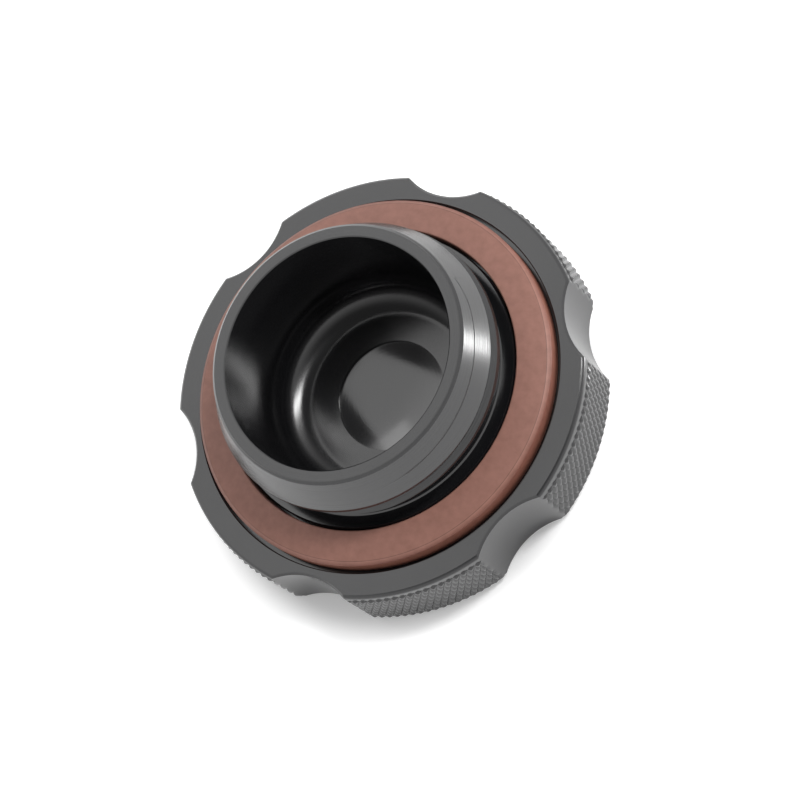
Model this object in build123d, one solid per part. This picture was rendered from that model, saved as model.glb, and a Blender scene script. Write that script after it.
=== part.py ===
from build123d import *
from math import cos, radians, sin, tan
import os

# An oil filler cap turned from one billet, with a flat sealing ring.
# The frame is the cap's own: Z is the thread axis and points out of the
# spigot's mouth, and the origin is the centre of the flat outer face.
# All lengths are in millimetres and all angles in degrees.

# Thread: a coarse right-hand groove that runs out into a relief
thread_crest_radius = 21.0
thread_depth = 0.7
thread_pitch = 4.5
groove_root_width = 1.3
groove_upper_flank_width = 0.25
groove_lower_flank_width = 0.65
groove_upper_edge_height = 8.5
groove_upper_edge_angle = -18.0
relief_top = 5.8
relief_below_root = 0.5
relief_corner_break = 0.2

# Spigot
spigot_length = 13.95
spigot_wall = 3.45
rim_width = 1.6
rim_chamfer = 0.4
bore_edge_break = 0.15
lead_in_angle = 23.5

# Cup inside the spigot, with a shallow dish in a pocket in its floor
cup_depth = 19.4
cup_floor_fillet = 5.1
pocket_radius = 8.2
pocket_wall_height = 0.5
dish_edge_slope = 10.0

# Sealing ring
seal_width = 4.8
seal_thickness = 3.8
seal_top_fall = 0.8
seal_outer_break_width = 0.5
seal_outer_break_height = 0.35
seal_inner_break = 0.15
seal_to_thread_gap = 1.15

# Seal seat: a recess in the grip's inner face around a raised collar
seat_depth = 1.1
seat_edge_break = 0.15
seat_to_seal_gap = 0.6
collar_height = 2.3
collar_edge_break = 0.2
collar_to_seal_gap = 0.3

# Finger scallops around the grip
scallop_count = 6
scallop_depth = 2.65
scallop_radius = 10.8
scallop_corner_blend = 1.3
scallop_edge_break = 0.3
scallop_floor_wall = 1.3
first_scallop_angle = 30.0

# Grip
grip_height = 10.8
front_band_step = 0.3
front_band_height = 0.9
front_band_slope = 0.3
inner_face_chamfer = 0.5
outer_face_chamfer = 1.0

# Radii that follow, from the thread inwards and then outwards
thread_root_radius = thread_crest_radius - thread_depth
relief_radius = thread_root_radius - relief_below_root
bore_radius = thread_root_radius - spigot_wall
rim_radius = bore_radius + rim_width
lead_in_radius = rim_radius + rim_chamfer
seal_bore_radius = thread_crest_radius + seal_to_thread_gap
collar_radius = seal_bore_radius - collar_to_seal_gap
seal_outer_radius = seal_bore_radius + seal_width
seat_radius = seal_outer_radius + seat_to_seal_gap
knurl_crest_radius = seat_radius + scallop_floor_wall + scallop_depth
front_band_radius = knurl_crest_radius - front_band_step

# Heights that follow, from the outer face up
inner_face = grip_height
seat_floor = inner_face - seat_depth
collar_top = inner_face + collar_height
mouth = inner_face + spigot_length
cup_floor = mouth - cup_depth
lead_in_top = mouth - rim_chamfer


def lead_in_height(radius):
    """The height at which the lead-in cone has the given radius."""
    return lead_in_top - (radius - lead_in_radius) / tan(radians(lead_in_angle))


def turned(points):
    """Revolves a closed outline of (radius, height) points about Z."""
    outline = Plane.XZ * Polyline(*points, close=True)
    return revolve(make_face(outline), Axis.Z)


def grip_outline():
    """The lobed outline: a disc with a finger scallop between each two lobes."""
    centre_distance = knurl_crest_radius - scallop_depth + scallop_radius
    outline = Circle(knurl_crest_radius)
    for turn in range(scallop_count):
        angle = radians(first_scallop_angle + turn * 360 / scallop_count)
        centre = (centre_distance * cos(angle), centre_distance * sin(angle))
        outline -= Pos(*centre) * Circle(scallop_radius)
    return fillet(outline.vertices(), scallop_corner_blend)


def grip():
    """The grip, with a plain band in front of the knurled part of each lobe."""
    block = extrude(grip_outline(), grip_height)
    block = chamfer(block.faces().filter_by(Axis.Z).edges(), scallop_edge_break)
    band_top = inner_face - inner_face_chamfer
    band_foot = band_top - front_band_height
    envelope = turned(
        [
            (0, 0),
            (knurl_crest_radius - outer_face_chamfer, 0),
            (knurl_crest_radius, outer_face_chamfer),
            (knurl_crest_radius, band_foot - front_band_slope),
            (front_band_radius, band_foot),
            (front_band_radius, band_top),
            (front_band_radius - inner_face_chamfer, inner_face),
            (0, inner_face),
        ]
    )
    seat = turned(
        [
            (0, seat_floor),
            (seat_radius, seat_floor),
            (seat_radius, inner_face - seat_edge_break),
            (seat_radius + seat_edge_break, inner_face),
            (0, inner_face),
        ]
    )
    return block & envelope - seat


def spigot():
    """The solid spigot on its collar, with the lead-in cone and thread relief."""
    return turned(
        [
            (0, seat_floor),
            (collar_radius, seat_floor),
            (collar_radius, collar_top - collar_edge_break),
            (collar_radius - collar_edge_break, collar_top),
            (relief_radius + relief_corner_break, collar_top),
            (relief_radius, collar_top + relief_corner_break),
            (relief_radius, inner_face + relief_top),
            (thread_crest_radius, inner_face + relief_top),
            (thread_crest_radius, lead_in_height(thread_crest_radius)),
            (lead_in_radius, lead_in_top),
            (rim_radius, mouth),
            (0, mouth),
        ]
    )


def thread_groove():
    """The helical cutter, from clear of the lead-in cone down into the relief."""
    overshoot = 0.4
    clear_of_cone = thread_pitch / 4
    top = lead_in_height(thread_root_radius) + clear_of_cone
    bottom = inner_face + relief_top - groove_lower_flank_width
    reach = 1 + overshoot / thread_depth
    crest_side = thread_crest_radius + overshoot
    profile = Plane.XZ * Polyline(
        (thread_root_radius, 0),
        (crest_side, groove_upper_flank_width * reach),
        (crest_side, -groove_root_width - groove_lower_flank_width * reach),
        (thread_root_radius, -groove_root_width),
        close=True,
    )
    path = Helix(thread_pitch, top - bottom, thread_root_radius)
    cutter = sweep(make_face(profile), path=path, is_frenet=True)
    upper_edge_at_start = bottom + groove_upper_flank_width - inner_face
    turns_up_to_edge = (groove_upper_edge_height - upper_edge_at_start) / thread_pitch
    start_angle = groove_upper_edge_angle - 360 * turns_up_to_edge
    return Pos(0, 0, bottom) * Rot(0, 0, start_angle) * cutter


def pocket():
    """The central pocket: a low wall round a dished floor, deepest on the axis."""
    dish_rim = cup_floor - pocket_wall_height
    dish_radius = pocket_radius / sin(radians(dish_edge_slope))
    dish_fall = dish_radius * (1 - cos(radians(dish_edge_slope)))
    lowest = (0, dish_rim - dish_fall)
    dish = Plane.XZ * RadiusArc(lowest, (pocket_radius, dish_rim), -dish_radius)
    rest = Plane.XZ * Polyline((pocket_radius, dish_rim), (pocket_radius, cup_floor), (0, cup_floor), lowest)
    return revolve(make_face(Wire([dish, *rest.edges()])), Axis.Z)


def cup():
    """The hollow inside: bore, rounded floor corner and central pocket."""
    corner_start = (bore_radius - cup_floor_fillet, cup_floor)
    corner_end = (bore_radius, cup_floor + cup_floor_fillet)
    corner = Plane.XZ * RadiusArc(corner_start, corner_end, -cup_floor_fillet)
    rest = Plane.XZ * Polyline(
        corner_end,
        (bore_radius, mouth - bore_edge_break),
        (bore_radius + bore_edge_break, mouth),
        (0, mouth),
        (0, cup_floor),
        corner_start,
    )
    return revolve(make_face(Wire([corner, *rest.edges()])), Axis.Z) + pocket()


def cap_body():
    """Grip and spigot as the one turned and milled piece that they are."""
    return grip() + spigot() - thread_groove() - cup()


def seal_ring():
    """The sealing ring on its seat, its top falling gently towards the outside."""
    top = seat_floor + seal_thickness
    outer_top = top - seal_top_fall
    return turned(
        [
            (seal_bore_radius, seat_floor),
            (seal_outer_radius, seat_floor),
            (seal_outer_radius, outer_top - seal_outer_break_height),
            (seal_outer_radius - seal_outer_break_width, outer_top),
            (seal_bore_radius + seal_inner_break, top),
            (seal_bore_radius, top - seal_inner_break),
        ]
    )


os.makedirs("parts", exist_ok=True)
pieces = {"cap_body": cap_body(), "seal_ring": seal_ring()}
for name, solid in pieces.items():
    export_step(solid, f"parts/{name}.step")
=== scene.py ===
import math
import bmesh
import bpy
import numpy as np
from mathutils import Matrix, Vector


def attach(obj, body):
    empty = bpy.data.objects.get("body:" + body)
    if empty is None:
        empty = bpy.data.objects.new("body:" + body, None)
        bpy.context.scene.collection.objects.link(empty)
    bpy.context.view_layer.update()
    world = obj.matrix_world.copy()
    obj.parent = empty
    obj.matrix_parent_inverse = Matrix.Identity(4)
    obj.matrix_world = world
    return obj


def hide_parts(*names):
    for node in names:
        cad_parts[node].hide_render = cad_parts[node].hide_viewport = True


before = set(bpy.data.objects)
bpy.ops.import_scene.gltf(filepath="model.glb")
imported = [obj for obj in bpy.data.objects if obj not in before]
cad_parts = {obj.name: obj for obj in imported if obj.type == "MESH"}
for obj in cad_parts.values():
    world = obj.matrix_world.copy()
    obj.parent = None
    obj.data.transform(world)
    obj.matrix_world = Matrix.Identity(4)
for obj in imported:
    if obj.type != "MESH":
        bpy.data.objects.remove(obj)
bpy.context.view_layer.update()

# Lengths are in millimetres until mesh_piece() turns them into metres.
# The frame is the solids': Z is the thread axis and the origin is the centre of the flat outer face.
MM = 0.001

# Thread
thread_crest_radius = 21.0
thread_depth = 0.7
thread_pitch = 4.5
groove_root_width = 1.3
groove_upper_flank_width = 0.25
groove_lower_flank_width = 0.65
groove_upper_edge_height = 8.5
groove_upper_edge_angle = -18.0
relief_top = 5.8
relief_below_root = 0.5
relief_corner_break = 0.2

# Spigot and cup
spigot_length = 13.95
spigot_wall = 3.45
rim_width = 1.6
rim_chamfer = 0.4
bore_edge_break = 0.15
lead_in_angle = 23.5
cup_depth = 19.4
cup_floor_fillet = 5.1
pocket_radius = 8.2
pocket_wall_height = 0.5
dish_edge_slope = 10.0

# Sealing ring and its seat
seal_width = 4.8
seal_thickness = 3.8
seal_top_fall = 0.8
seal_outer_break_width = 0.5
seal_outer_break_height = 0.35
seal_inner_break = 0.15
seal_to_thread_gap = 1.15
seat_depth = 1.1
seat_edge_break = 0.15
seat_to_seal_gap = 0.6
collar_height = 2.3
collar_edge_break = 0.2
collar_to_seal_gap = 0.3

# Grip
scallop_count = 6
scallop_depth = 2.65
scallop_radius = 10.8
scallop_corner_blend = 1.3
scallop_edge_break = 0.3
scallop_floor_wall = 1.3
first_scallop_angle = 30.0
grip_height = 10.8
front_band_step = 0.3
front_band_height = 0.9
front_band_slope = 0.3
inner_face_chamfer = 0.5
outer_face_chamfer = 1.0

# Small roundings that only the finish has, and the most of an edge that a rounding takes
seal_softness = 0.12
chamfer_bulge = 0.1
rounding_share = 0.45

# Knurl: the grooves of one hand are a little deeper than those of the other
knurl_teeth = 166
knurl_depth = 0.3
knurl_helix_angle = 28.0
shallow_hand = 0.75
steps_per_tooth = 6

# A fine line left by the threading tool on the lead-in cone
line_start_angle = 47.0
line_turn = 112.0
line_height = 11.43
line_run_in_turn = 17.0
line_run_in_rise = 0.6
line_fade_turn = 30.0
line_width = 0.07
line_rise = 0.035

# Small nicks along the lower edge of the thread's last ridge, from two waves that beat
burr_angle = 16.0
burr_half_turn = 22.0
burr_size = 0.12
burr_fine_wave = 17.3
burr_coarse_wave = 5.9
burr_sharpness = 3

# Painted shadow on the floor: a patch by the cap, on the side away from the windows, where the floor's
# painted glow is turned down
painted_shadow_shift = 3.0
painted_shadow_inner_radius = 28.0
painted_shadow_outer_radius = 33.5

# Radii that follow
thread_root_radius = thread_crest_radius - thread_depth
relief_radius = thread_root_radius - relief_below_root
bore_radius = thread_root_radius - spigot_wall
rim_radius = bore_radius + rim_width
lead_in_radius = rim_radius + rim_chamfer
seal_bore_radius = thread_crest_radius + seal_to_thread_gap
collar_radius = seal_bore_radius - collar_to_seal_gap
seal_outer_radius = seal_bore_radius + seal_width
seat_radius = seal_outer_radius + seat_to_seal_gap
knurl_crest_radius = seat_radius + scallop_floor_wall + scallop_depth
front_band_radius = knurl_crest_radius - front_band_step

# Heights that follow
inner_face = grip_height
seat_floor = inner_face - seat_depth
collar_top = inner_face + collar_height
relief_level = inner_face + relief_top
mouth = inner_face + spigot_length
cup_floor = mouth - cup_depth
lead_in_top = mouth - rim_chamfer
lead_in_slope = math.tan(math.radians(lead_in_angle))

# The lead-in cone's height at the crest and at the root, and its radius carried down to the face
cone_foot = lead_in_top - (thread_crest_radius - lead_in_radius) / lead_in_slope
cone_at_root = lead_in_top - (thread_root_radius - lead_in_radius) / lead_in_slope
cone_at_zero = lead_in_radius + lead_in_top * lead_in_slope

# Rise of the groove's flanks over their height
lower_flank_slope = thread_depth / groove_lower_flank_width
upper_flank_slope = thread_depth / groove_upper_flank_width

# Points round the axis: on the knurled side, and everywhere else
fine_count = knurl_teeth * steps_per_tooth
plain_count = fine_count // 2

# Where faces lie: a ring on the flat outer face, and the least step up the spigot
outer_face_ring = 20.0
least_step = 0.01

# Points closer than the first are welded, and edges shorter than the second are dropped
weld_distance = 0.0005
sliver_length = 0.0001

# Passes of the groove past one upright line, those below the stated edge, and points for each
groove_passes = 4
passes_below = 2
points_per_pass = 5

# The tool line's rows, in line widths off its middle, with their share of its rise
line_rows = ((-3, 0), (-1, 0), (0, 1), (1, 0), (3, 0))


def angles_of(count):
    """Evenly spaced angles round the axis, from +X."""
    return np.arange(count) * 2 * np.pi / count


def ring(radius, height, count):
    """Points round the axis; radius and height are numbers or one value for each point."""
    turn = angles_of(count)
    radius = np.broadcast_to(np.asarray(radius, float), count)
    height = np.broadcast_to(np.asarray(height, float), count)
    return np.column_stack([radius * np.cos(turn), radius * np.sin(turn), height])


def centre(height):
    """The point on the axis that closes a stack of rings."""
    return np.array([[0.0, 0.0, height]])


class Skin:
    """Gathers rings and strips of points into the faces of one closed surface."""

    def __init__(self):
        self.points = []
        self.faces = []
        self.size = 0

    def add(self, points):
        start = self.size
        self.points.append(points)
        self.size += len(points)
        return start

    def stack(self, rings):
        """Joins each ring to the next one; the outside lies to the right of the way up."""
        starts = [self.add(points) for points in rings]
        for low in range(len(rings) - 1):
            self.join(starts[low], len(rings[low]), starts[low + 1], len(rings[low + 1]), low)

    def join(self, low, low_count, high, high_count, row):
        """Faces between two rings that have as many points, or twice as many, or only one."""
        if low_count == high_count:
            for i in range(low_count):
                j = (i + 1) % low_count
                a, b, c, d = low + i, low + j, high + j, high + i
                if (i + row) % 2:
                    self.faces += [(a, b, d), (b, c, d)]
                else:
                    self.faces += [(a, b, c), (a, c, d)]
        elif high_count == 1:
            self.faces += [(low + i, low + (i + 1) % low_count, high) for i in range(low_count)]
        elif low_count == 1:
            self.faces += [(low, high + (i + 1) % high_count, high + i) for i in range(high_count)]
        elif low_count == 2 * high_count:
            for i in range(high_count):
                a, b, c = low + 2 * i, low + 2 * i + 1, low + (2 * i + 2) % low_count
                d, e = high + i, high + (i + 1) % high_count
                self.faces += [(a, b, d), (b, e, d), (b, c, e)]
        else:
            for i in range(low_count):
                a, e = low + i, low + (i + 1) % low_count
                b, c, d = high + 2 * i, high + 2 * i + 1, high + (2 * i + 2) % high_count
                self.faces += [(a, c, b), (a, e, c), (e, d, c)]

    def strip(self, left, right):
        """Joins two upright lines of points, the right one further round the axis."""
        first, second = self.add(left), self.add(right)
        for k in range(len(left) - 1):
            self.faces.append((first + k, second + k, second + k + 1, first + k + 1))


def mesh_piece(name, skin, sharp_angle):
    """An object from a skin, with doubled points welded and sharp edges kept."""
    mesh = bpy.data.meshes.new(name)
    mesh.from_pydata((np.vstack(skin.points) * MM).tolist(), [], skin.faces)
    piece = bpy.data.objects.new(name, mesh)
    bpy.context.scene.collection.objects.link(piece)
    work = bmesh.new()
    work.from_mesh(mesh)
    bmesh.ops.remove_doubles(work, verts=work.verts, dist=weld_distance * MM)
    bmesh.ops.dissolve_degenerate(work, edges=work.edges, dist=sliver_length * MM)
    bmesh.ops.recalc_face_normals(work, faces=work.faces)
    work.to_mesh(mesh)
    work.free()
    mesh.shade_smooth()
    mesh.set_sharp_from_angle(angle=math.radians(sharp_angle))
    return piece


def outline(turn, inset=0.0):
    """Radius of the lobed outline at each angle, moved in by an inset."""
    crest = knurl_crest_radius - inset
    hollow = scallop_radius + inset
    blend = scallop_corner_blend - inset
    hollow_distance = knurl_crest_radius - scallop_depth + scallop_radius
    blend_distance = knurl_crest_radius - scallop_corner_blend
    reach = scallop_radius + scallop_corner_blend
    blend_angle = math.acos(
        (hollow_distance**2 + blend_distance**2 - reach**2) / (2 * hollow_distance * blend_distance)
    )
    blend_centre = np.array([math.cos(blend_angle), math.sin(blend_angle)]) * blend_distance
    tangent = blend_centre + (np.array([hollow_distance, 0]) - blend_centre) * blend / reach
    tangent_angle = math.atan2(tangent[1], tangent[0])
    step = 2 * np.pi / scallop_count
    off = (turn - math.radians(first_scallop_angle) + step / 2) % step - step / 2
    off = np.abs(off)
    across = np.minimum(hollow_distance * np.sin(off), hollow)
    in_hollow = hollow_distance * np.cos(off) - np.sqrt(hollow**2 - across**2)
    aside = np.clip(blend_distance * np.sin(blend_angle - off), -blend, blend)
    on_blend = blend_distance * np.cos(blend_angle - off) + np.sqrt(blend**2 - aside**2)
    return np.where(off < tangent_angle, in_hollow, np.where(off < blend_angle, on_blend, crest))


def knurl_radius(turn, height):
    """Radius of the diamond knurl, whose peaks are a little rounded."""
    pitch = 2 * math.pi * knurl_crest_radius / knurl_teeth
    axial = pitch / math.tan(math.radians(knurl_helix_angle))
    around = turn * knurl_teeth / (2 * np.pi)
    along = height / axial
    rise = [2 * np.abs(x - np.round(x)) for x in (around + along, around - along)]
    low = np.minimum(1 - shallow_hand * (1 - rise[0]), rise[1])
    return knurl_crest_radius - knurl_depth * (1 - np.sin(low * np.pi / 2))


def envelope_radius(height):
    """Radius of the turned blank of the grip at one height."""
    band_top = inner_face - inner_face_chamfer
    band_foot = band_top - front_band_height
    heights = [0, outer_face_chamfer, band_foot - front_band_slope, band_foot, band_top, inner_face]
    radii = [
        knurl_crest_radius - outer_face_chamfer,
        knurl_crest_radius,
        knurl_crest_radius,
        front_band_radius,
        front_band_radius,
        front_band_radius - inner_face_chamfer,
    ]
    along = np.clip((height - band_top) / inner_face_chamfer, 0, 1)
    return np.interp(height, heights, radii) + chamfer_bulge * np.sin(np.pi * along)


def side_ring(height):
    """One ring of the grip's side: blank, scallops and knurl, whichever is cut deepest."""
    turn = angles_of(fine_count)
    depth_from_face = min(height, inner_face - height)
    inset = max(0.0, scallop_edge_break - depth_from_face)
    radius = np.minimum(outline(turn, inset), envelope_radius(height))
    return ring(np.minimum(radius, knurl_radius(turn, height)), height, fine_count)


def grip_rings():
    """The rings of the grip's side, closer together where the knurl, band and chamfer need it."""
    pitch = 2 * math.pi * knurl_crest_radius / knurl_teeth
    row = pitch / math.tan(math.radians(knurl_helix_angle)) / steps_per_tooth
    band_top = inner_face - inner_face_chamfer
    band_foot = band_top - front_band_height
    knurl_rows = np.arange(2, int((band_foot - front_band_slope) / row) + 1) * row
    slope_rows = np.linspace(band_foot - front_band_slope, band_foot, 4)
    chamfer_rows = np.linspace(band_top, inner_face, 6)
    heights = [0.0, scallop_edge_break, *knurl_rows, *slope_rows, *chamfer_rows]
    return [side_ring(height) for height in heights]


def lead_in(height):
    """Radius of the spigot's blank, crest cylinder and lead-in cone, at each height."""
    return np.minimum(thread_crest_radius, lead_in_radius + (lead_in_top - height) * lead_in_slope)


def groove_edges(turns_up):
    """Heights of the groove's edges, from its foot to its head, so many turns above the stated one."""
    upper_edge = inner_face + groove_upper_edge_height + thread_pitch * turns_up
    root_high = np.minimum(upper_edge - groove_upper_flank_width, cone_at_root)
    root_low = np.minimum(upper_edge - groove_upper_flank_width - groove_root_width, cone_at_root)
    foot = root_low - groove_lower_flank_width
    on_cone = thread_root_radius + lower_flank_slope * root_low - cone_at_zero
    on_cone = on_cone / (lower_flank_slope - lead_in_slope)
    foot = np.where(foot > cone_foot, np.minimum(on_cone, cone_at_root), foot)
    foot = np.where(root_low >= cone_at_root, cone_at_root, foot)
    head = root_high + groove_upper_flank_width
    on_cone = cone_at_zero - thread_root_radius + upper_flank_slope * root_high
    on_cone = on_cone / (upper_flank_slope + lead_in_slope)
    head = np.where(head > cone_foot, on_cone, head)
    head = np.where(root_high >= cone_at_root, cone_at_root, head)
    return foot, root_low, root_high, head


def cut_radius(height, passes):
    """Radius of the spigot at each height, once every pass of the groove is cut."""
    radius = lead_in(height)
    for foot, root_low, root_high, head in passes:
        lower = thread_root_radius + (root_low - height) * lower_flank_slope
        upper = thread_root_radius + (height - root_high) * upper_flank_slope
        cut = np.maximum(np.maximum(lower, upper), thread_root_radius)
        clear = (height < foot) | (height > head) | (root_low >= cone_at_root)
        radius = np.minimum(radius, np.where(clear, np.inf, cut))
    return radius


def nicks(degrees):
    """How far the nicks stand out from the thread's last edge at each angle."""
    waves = np.sin(burr_fine_wave * degrees) * np.sin(burr_coarse_wave * degrees + 1)
    burr = np.abs(waves) ** burr_sharpness * burr_size
    return burr * np.clip(1 - np.abs(degrees - burr_angle) / burr_half_turn, 0, 1)


def tool_line_rows(degrees, lowest):
    """Rows (radius, height) over the fine tool line, each kept above the row before it."""
    past = (line_start_angle - degrees) % 360
    climb = (line_start_angle - np.minimum(past, line_turn)) / 360
    line = inner_face + line_height + thread_pitch * climb
    line = line + line_run_in_rise * np.clip(1 - past / line_run_in_turn, 0, 1) ** 2
    rise = line_rise * np.clip((line_turn - past) / line_fade_turn, 0, 1)
    rows = []
    for widths_off, share in line_rows:
        lowest = np.maximum(line + widths_off * line_width, lowest + least_step)
        rows.append((lead_in(lowest) + share * rise, lowest))
    return rows


def thread_columns():
    """Upright lines of points round the thread, with a point on every edge of the groove."""
    degrees = np.degrees(angles_of(plain_count))
    turns = ((degrees - groove_upper_edge_angle) % 360) / 360
    passes = [groove_edges(turns + number - passes_below) for number in range(groove_passes)]
    floor = np.full(plain_count, relief_level)
    floor_radius = cut_radius(floor, passes) + nicks(degrees)
    rows = [(np.full(plain_count, relief_radius), floor), (floor_radius, floor)]
    feet_above = [following[0] for following in passes[1:]] + [np.full(plain_count, cone_at_root)]
    for (foot, root_low, root_high, head), above in zip(passes, feet_above):
        crest = np.clip(cone_foot, head, np.maximum(above, head))
        for height, radius in (
            (foot, lead_in(foot)),
            (root_low, np.minimum(lead_in(root_low), thread_root_radius)),
            (root_high, np.minimum(lead_in(root_high), thread_root_radius)),
            (head, lead_in(head)),
            (crest, lead_in(crest)),
        ):
            hidden = height <= relief_level
            rows.append((np.where(hidden, floor_radius, radius), np.where(hidden, relief_level, height)))
    rows += tool_line_rows(degrees, lowest=rows[-1][1])
    rows.append((np.full(plain_count, lead_in_radius), np.full(plain_count, lead_in_top)))
    points = np.stack([ring(radius, height, plain_count) for radius, height in rows], 1)
    return points[np.argsort(turns)]


def thread_skin(skin):
    """Joins the upright lines; after one turn each pass of the groove meets the next one up."""
    columns = thread_columns()
    for left, right in zip(columns[:-1], columns[1:]):
        skin.strip(left, right)
    foot_rows = 2
    top_rows = len(line_rows) + 1
    last = np.concatenate([columns[-1][: -top_rows - points_per_pass], columns[-1][-top_rows:]])
    first = np.concatenate([columns[0][:foot_rows], columns[0][foot_rows + points_per_pass :]])
    skin.strip(last, first)


def arc(centre_radius, centre_height, radius, start, end, steps):
    """Points (radius, height) on an arc in the turned section, angles in degrees."""
    angles = np.radians(np.linspace(start, end, steps + 1))
    return [(centre_radius + radius * math.cos(a), centre_height + radius * math.sin(a)) for a in angles]


def softened(corners, reach, steps):
    """An outline with each inner corner rounded off by a short curve that starts within reach."""
    points = [np.array(corners[0], float)]
    for before, here, after in zip(corners[:-2], corners[1:-1], corners[2:]):
        before, here, after = (np.array(point, float) for point in (before, here, after))
        ends = []
        for other in (before, after):
            length = np.linalg.norm(other - here)
            ends.append(here + (other - here) / length * min(reach, rounding_share * length))
        for t in np.linspace(0, 1, steps + 1):
            points.append((1 - t) ** 2 * ends[0] + 2 * t * (1 - t) * here + t**2 * ends[1])
    points.append(np.array(corners[-1], float))
    return points


def dish_section():
    """The dished floor of the cup's pocket, from its rim to the axis."""
    dish_radius = pocket_radius / math.sin(math.radians(dish_edge_slope))
    dish_centre = cup_floor - pocket_wall_height + dish_radius * math.cos(math.radians(dish_edge_slope))
    return arc(0, dish_centre, dish_radius, dish_edge_slope - 90, -90, 12)


def body_piece():
    """Grip and spigot in one skin: up the outside, over the rim and down into the cup."""
    skin = Skin()
    section = [
        (seat_radius + seat_edge_break, inner_face),
        (seat_radius, inner_face - seat_edge_break),
        (seat_radius, seat_floor),
        (collar_radius, seat_floor),
        (collar_radius, collar_top - collar_edge_break),
        (collar_radius - collar_edge_break, collar_top),
        (relief_radius + relief_corner_break, collar_top),
        (relief_radius, collar_top + relief_corner_break),
        (relief_radius, relief_level),
    ]
    bottom = [centre(0.0), ring(outer_face_ring, 0.0, plain_count)]
    rings = bottom + grip_rings() + [ring(r, z, plain_count) for r, z in section]
    skin.stack(rings)
    thread_skin(skin)
    cup_section = [
        (lead_in_radius, lead_in_top),
        (rim_radius, mouth),
        (bore_radius + bore_edge_break, mouth),
        (bore_radius, mouth - bore_edge_break),
        *arc(bore_radius - cup_floor_fillet, cup_floor + cup_floor_fillet, cup_floor_fillet, 0, -90, 20),
        (pocket_radius, cup_floor),
        *dish_section(),
    ]
    top = [ring(r, z, plain_count) for r, z in cup_section[:-1]]
    top.append(centre(cup_section[-1][1]))
    skin.stack(top)
    return mesh_piece("cap_body_finish", skin, sharp_angle=20)


def seal_piece():
    """The sealing ring, its section closed at the foot of its bore."""
    skin = Skin()
    top = seat_floor + seal_thickness
    outer_top = top - seal_top_fall
    corners = [
        (seal_bore_radius, seat_floor),
        (seal_outer_radius, seat_floor),
        (seal_outer_radius, outer_top - seal_outer_break_height),
        (seal_outer_radius - seal_outer_break_width, outer_top),
        (seal_bore_radius + seal_inner_break, top),
        (seal_bore_radius, top - seal_inner_break),
        (seal_bore_radius, seat_floor),
    ]
    section = softened(corners, seal_softness, steps=4)
    skin.stack([ring(r, z, plain_count) for r, z in section])
    return mesh_piece("seal_ring_finish", skin, sharp_angle=50)


def new_material(name):
    """A new material with its nodes and its main shader."""
    material = bpy.data.materials.new(name)
    material.use_nodes = True
    tree = material.node_tree
    shader = tree.nodes["Principled BSDF"]
    return material, tree, shader


def anodised_material():
    """Satin black anodised aluminium with fine turning marks round the axis."""
    material, tree, shader = new_material("anodised_body")
    nodes, links = tree.nodes, tree.links
    place = nodes.new("ShaderNodeTexCoord")
    split = nodes.new("ShaderNodeSeparateXYZ")
    links.new(place.outputs["Object"], split.inputs[0])
    flat = nodes.new("ShaderNodeCombineXYZ")
    links.new(split.outputs["X"], flat.inputs["X"])
    links.new(split.outputs["Y"], flat.inputs["Y"])
    radius = nodes.new("ShaderNodeVectorMath")
    radius.operation = "LENGTH"
    links.new(flat.outputs[0], radius.inputs[0])
    section = nodes.new("ShaderNodeCombineXYZ")
    links.new(radius.outputs["Value"], section.inputs["X"])
    links.new(split.outputs["Z"], section.inputs["Y"])
    marks = nodes.new("ShaderNodeTexNoise")
    marks.inputs["Scale"].default_value = 5200.0
    marks.inputs["Detail"].default_value = 2.0
    links.new(section.outputs[0], marks.inputs["Vector"])

    def ranged(source, low, high, to_low, to_high):
        """A value that goes from one level to another as its source rises from low to high."""
        node = nodes.new("ShaderNodeMapRange")
        node.inputs["From Min"].default_value = low
        node.inputs["From Max"].default_value = high
        links.new(source, node.inputs["Value"])
        for name, level in (("To Min", to_low), ("To Max", to_high)):
            if isinstance(level, float):
                node.inputs[name].default_value = level
            else:
                links.new(level, node.inputs[name])
        return node.outputs[0]

    bore = bore_radius * MM
    pocket = (pocket_radius - 0.3) * MM
    collar = (collar_top + 0.3) * MM
    coarse = ranged(split.outputs["Z"], collar, collar + 0.0003, 0.05, 0.6)
    depth = ranged(radius.outputs["Value"], bore, bore + 0.0003, 0.05, coarse)
    bump = nodes.new("ShaderNodeBump")
    bump.inputs["Distance"].default_value = 0.00004
    links.new(depth, bump.inputs["Strength"])
    links.new(marks.outputs["Fac"], bump.inputs["Height"])
    links.new(bump.outputs[0], shader.inputs["Normal"])
    cloud = nodes.new("ShaderNodeTexNoise")
    cloud.inputs["Scale"].default_value = 180.0
    links.new(place.outputs["Object"], cloud.inputs["Vector"])
    satin = ranged(cloud.outputs["Fac"], 0.0, 1.0, 0.17, 0.24)
    rough = ranged(radius.outputs["Value"], pocket, pocket + 0.0002, 0.1, satin)
    links.new(rough, shader.inputs["Roughness"])
    tint = nodes.new("ShaderNodeValToRGB")
    tint.color_ramp.elements[0].color = (0.006, 0.006, 0.007, 1)
    tint.color_ramp.elements[1].color = (0.010, 0.010, 0.011, 1)
    links.new(cloud.outputs["Fac"], tint.inputs["Fac"])
    links.new(tint.outputs["Color"], shader.inputs["Base Color"])
    around = nodes.new("ShaderNodeTangent")
    around.direction_type = "RADIAL"
    around.axis = "Z"
    links.new(around.outputs[0], shader.inputs["Tangent"])
    shader.inputs["Anisotropic"].default_value = 0.6
    shader.inputs["IOR"].default_value = 1.75
    return material


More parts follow.
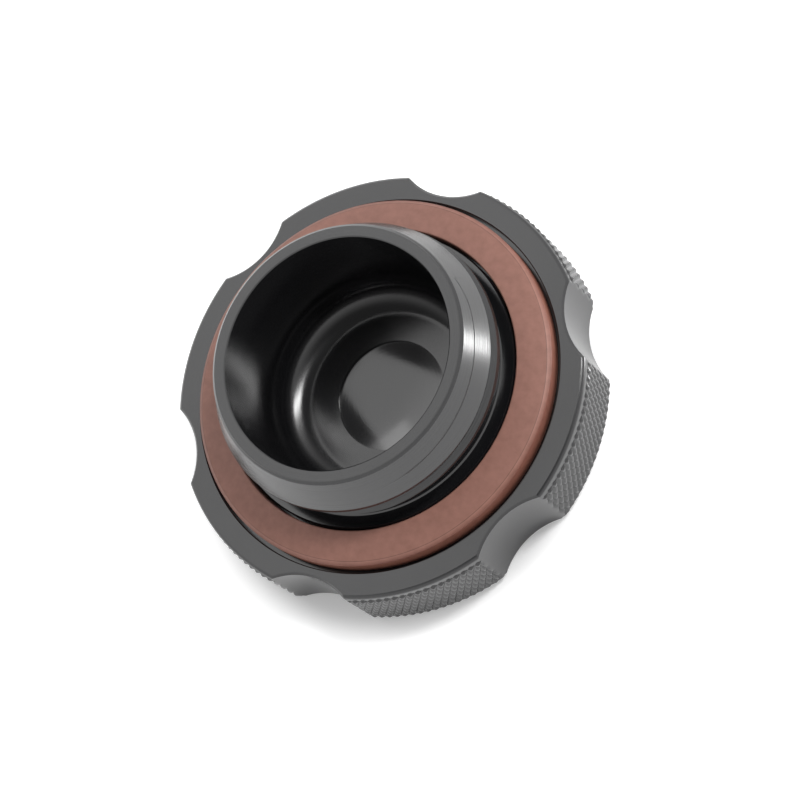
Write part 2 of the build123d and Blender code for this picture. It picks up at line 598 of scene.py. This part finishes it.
def rubber_material():
    """Matt brown rubber, slightly mottled, with painted shade: a fine dark line near its outer edge and
    a darker band towards that edge.
    """
    material, tree, shader = new_material("seal_rubber")
    nodes, links = tree.nodes, tree.links
    place = nodes.new("ShaderNodeTexCoord")
    cloud = nodes.new("ShaderNodeTexNoise")
    cloud.inputs["Scale"].default_value = 900.0
    cloud.inputs["Detail"].default_value = 6.0
    links.new(place.outputs["Object"], cloud.inputs["Vector"])
    tint = nodes.new("ShaderNodeValToRGB")
    tint.color_ramp.elements[0].position = 0.3
    tint.color_ramp.elements[0].color = (0.28, 0.132, 0.10, 1)
    tint.color_ramp.elements[1].position = 0.7
    tint.color_ramp.elements[1].color = (0.34, 0.162, 0.125, 1)
    links.new(cloud.outputs["Fac"], tint.inputs["Fac"])
    flat = nodes.new("ShaderNodeVectorMath")
    flat.operation = "MULTIPLY"
    flat.inputs[1].default_value = (1, 1, 0)
    links.new(place.outputs["Object"], flat.inputs[0])
    radius = nodes.new("ShaderNodeVectorMath")
    radius.operation = "LENGTH"
    links.new(flat.outputs[0], radius.inputs[0])
    # Painted shade: the colour darkens towards the seal's outer edge, with a fine dark line where the
    # outer break begins
    edge = nodes.new("ShaderNodeMapRange")
    edge.inputs["From Min"].default_value = (seal_outer_radius - 2 * seal_outer_break_width) * MM
    edge.inputs["From Max"].default_value = seal_outer_radius * MM
    links.new(radius.outputs["Value"], edge.inputs["Value"])
    shade = nodes.new("ShaderNodeValToRGB")
    shade.color_ramp.elements[0].position = 0.40
    shade.color_ramp.elements[0].color = (1, 1, 1, 1)
    shade.color_ramp.elements[1].position = 0.95
    shade.color_ramp.elements[1].color = (0.62, 0.5, 0.45, 1)
    for position, level in ((0.46, 0.45), (0.52, 1.0)):
        shade.color_ramp.elements.new(position).color = (level, level, level, 1)
    links.new(edge.outputs[0], shade.inputs["Fac"])
    painted_shade_mix = nodes.new("ShaderNodeMix")
    painted_shade_mix.data_type = "RGBA"
    painted_shade_mix.blend_type = "MULTIPLY"
    painted_shade_mix.inputs["Factor"].default_value = 1.0
    links.new(tint.outputs["Color"], painted_shade_mix.inputs["A"])
    links.new(shade.outputs["Color"], painted_shade_mix.inputs["B"])
    links.new(painted_shade_mix.outputs["Result"], shader.inputs["Base Color"])
    grain = nodes.new("ShaderNodeTexNoise")
    grain.inputs["Scale"].default_value = 3000.0
    links.new(place.outputs["Object"], grain.inputs["Vector"])
    bump = nodes.new("ShaderNodeBump")
    bump.inputs["Strength"].default_value = 0.2
    bump.inputs["Distance"].default_value = 0.00003
    links.new(grain.outputs["Fac"], bump.inputs["Height"])
    links.new(bump.outputs[0], shader.inputs["Normal"])
    shader.inputs["Roughness"].default_value = 0.5
    return material


def floor_material():
    """White paper that glows faintly as painted light, and glows less in a painted shadow by the cap."""
    material, tree, shader = new_material("paper_floor")
    nodes, links = tree.nodes, tree.links
    place = nodes.new("ShaderNodeTexCoord")
    cloud = nodes.new("ShaderNodeTexNoise")
    cloud.inputs["Scale"].default_value = 4.0
    links.new(place.outputs["Object"], cloud.inputs["Vector"])
    tint = nodes.new("ShaderNodeValToRGB")
    tint.color_ramp.elements[0].color = (0.88, 0.88, 0.88, 1)
    tint.color_ramp.elements[1].color = (0.90, 0.90, 0.90, 1)
    links.new(cloud.outputs["Fac"], tint.inputs["Fac"])
    links.new(tint.outputs["Color"], shader.inputs["Base Color"])
    shader.inputs["Roughness"].default_value = 0.9
    shader.inputs["Specular IOR Level"].default_value = 0.0
    # Painted shadow: the glow is weakest close to the cap, round a centre moved a little off the axis
    away = nodes.new("ShaderNodeVectorMath")
    away.operation = "DISTANCE"
    away.inputs[1].default_value = (0, -painted_shadow_shift * MM, 0)
    links.new(place.outputs["Object"], away.inputs[0])
    glow = nodes.new("ShaderNodeMapRange")
    glow.interpolation_type = "SMOOTHSTEP"
    glow.inputs["From Min"].default_value = painted_shadow_inner_radius * MM
    glow.inputs["From Max"].default_value = painted_shadow_outer_radius * MM
    glow.inputs["To Min"].default_value = 0.15
    glow.inputs["To Max"].default_value = 0.62
    links.new(away.outputs["Value"], glow.inputs["Value"])
    shader.inputs["Emission Color"].default_value = (1, 1, 1, 1)
    links.new(glow.outputs[0], shader.inputs["Emission Strength"])
    return material


def from_bearing(azimuth, elevation, distance):
    """A point given by its bearing from +X, its height angle and its distance, in metres."""
    a, e = math.radians(azimuth), math.radians(elevation)
    return Vector((math.cos(a) * math.cos(e), math.sin(a) * math.cos(e), math.sin(e))) * distance


def panel_light(name, bearing, distance, lean, width, edges, radiance):
    """A lit panel, unseen itself, whose back faces up at the angle given as its lean.

    Its bearing is where the cap sees its middle: azimuth and height angle. Its width and its
    lower and upper edges are given as shares of the distance, as the cap sees them."""
    azimuth, elevation = bearing
    tilt = math.radians(elevation - lean)
    low, high = (distance * edge / (math.cos(tilt) - edge * math.sin(tilt)) for edge in edges)
    data = bpy.data.lights.new(name, "AREA")
    data.shape = "RECTANGLE"
    data.size = distance * width
    data.size_y = high - low
    data.energy = radiance * math.pi * data.size * data.size_y
    light = bpy.data.objects.new(name, data)
    up = from_bearing(azimuth, lean + 90, (low + high) / 2)
    light.location = from_bearing(azimuth, elevation, distance) + up + Vector((0, 0, 0.012))
    light.rotation_mode = "QUATERNION"
    light.rotation_quaternion = from_bearing(azimuth, lean, -1.0).to_track_quat("-Z", "Y")
    light.visible_camera = False
    bpy.context.scene.collection.objects.link(light)


def make_camera():
    """The photograph's view: a long lens, looking down at the mouth, with the camera rolled."""
    azimuth, elevation, roll, distance = -21.338, 60.259, 52.626, 0.420695
    aim = Vector((0.004417, -0.001331, grip_height * MM))
    data = bpy.data.cameras.new("camera")
    data.sensor_width = 36.0
    data.lens = 135.19
    data.clip_start = 0.01
    data.clip_end = 100.0
    camera = bpy.data.objects.new("camera", data)
    back = from_bearing(azimuth, elevation, 1.0)
    look = (-back).to_track_quat("-Z", "Y").to_matrix()
    turned = look @ Matrix.Rotation(-math.radians(roll), 3, "Z")
    camera.matrix_world = Matrix.Translation(aim + back * distance) @ turned.to_4x4()
    bpy.context.scene.collection.objects.link(camera)
    bpy.context.scene.camera = camera


def make_stage():
    """The paper floor, the room round it and the four lit panels."""
    mesh = bpy.data.meshes.new("floor")
    half = 4.0
    corners = [(-half, -half, 0), (half, -half, 0), (half, half, 0), (-half, half, 0)]
    mesh.from_pydata(corners, [], [(0, 1, 2, 3)])
    floor = bpy.data.objects.new("floor", mesh)
    floor.data.materials.append(floor_material())
    bpy.context.scene.collection.objects.link(floor)
    make_room()
    panel_light(
        "broad_window",
        bearing=(158.5, 60),
        distance=0.9,
        lean=20,
        width=0.375,
        edges=(-0.35, 0.33),
        radiance=1.4,
    )
    panel_light(
        "low_window",
        bearing=(145, 47),
        distance=0.6,
        lean=47,
        width=0.20,
        edges=(-0.07, 0.09),
        radiance=1.3,
    )
    panel_light(
        "narrow_window",
        bearing=(47, 50),
        distance=0.8,
        lean=50,
        width=0.17,
        edges=(-0.2, 0.2),
        radiance=21,
    )
    panel_light(
        "low_card",
        bearing=(33, 0),
        distance=0.075,
        lean=0,
        width=0.14,
        edges=(-0.157, 0.105),
        radiance=20,
    )
    bpy.context.scene.view_settings.view_transform = "Standard"


def make_room():
    """Pale walls all round and a darker ceiling."""
    world = bpy.data.worlds.new("room")
    bpy.context.scene.world = world
    world.use_nodes = True
    nodes, links = world.node_tree.nodes, world.node_tree.links
    place = nodes.new("ShaderNodeTexCoord")
    split = nodes.new("ShaderNodeSeparateXYZ")
    links.new(place.outputs["Generated"], split.inputs[0])
    level = nodes.new("ShaderNodeMapRange")
    level.inputs["From Min"].default_value = 0.5
    level.inputs["From Max"].default_value = 0.85
    level.inputs["To Min"].default_value = 1.0
    level.inputs["To Max"].default_value = 0.15
    links.new(split.outputs["Z"], level.inputs["Value"])
    nodes["Background"].inputs["Color"].default_value = (1, 1, 1, 1)
    links.new(level.outputs[0], nodes["Background"].inputs["Strength"])


body = body_piece()
body.data.materials.append(anodised_material())
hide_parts("cap_body")
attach(body, "root")

seal = seal_piece()
seal.data.materials.append(rubber_material())
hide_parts("seal_ring")
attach(seal, "root")

make_stage()
make_camera()
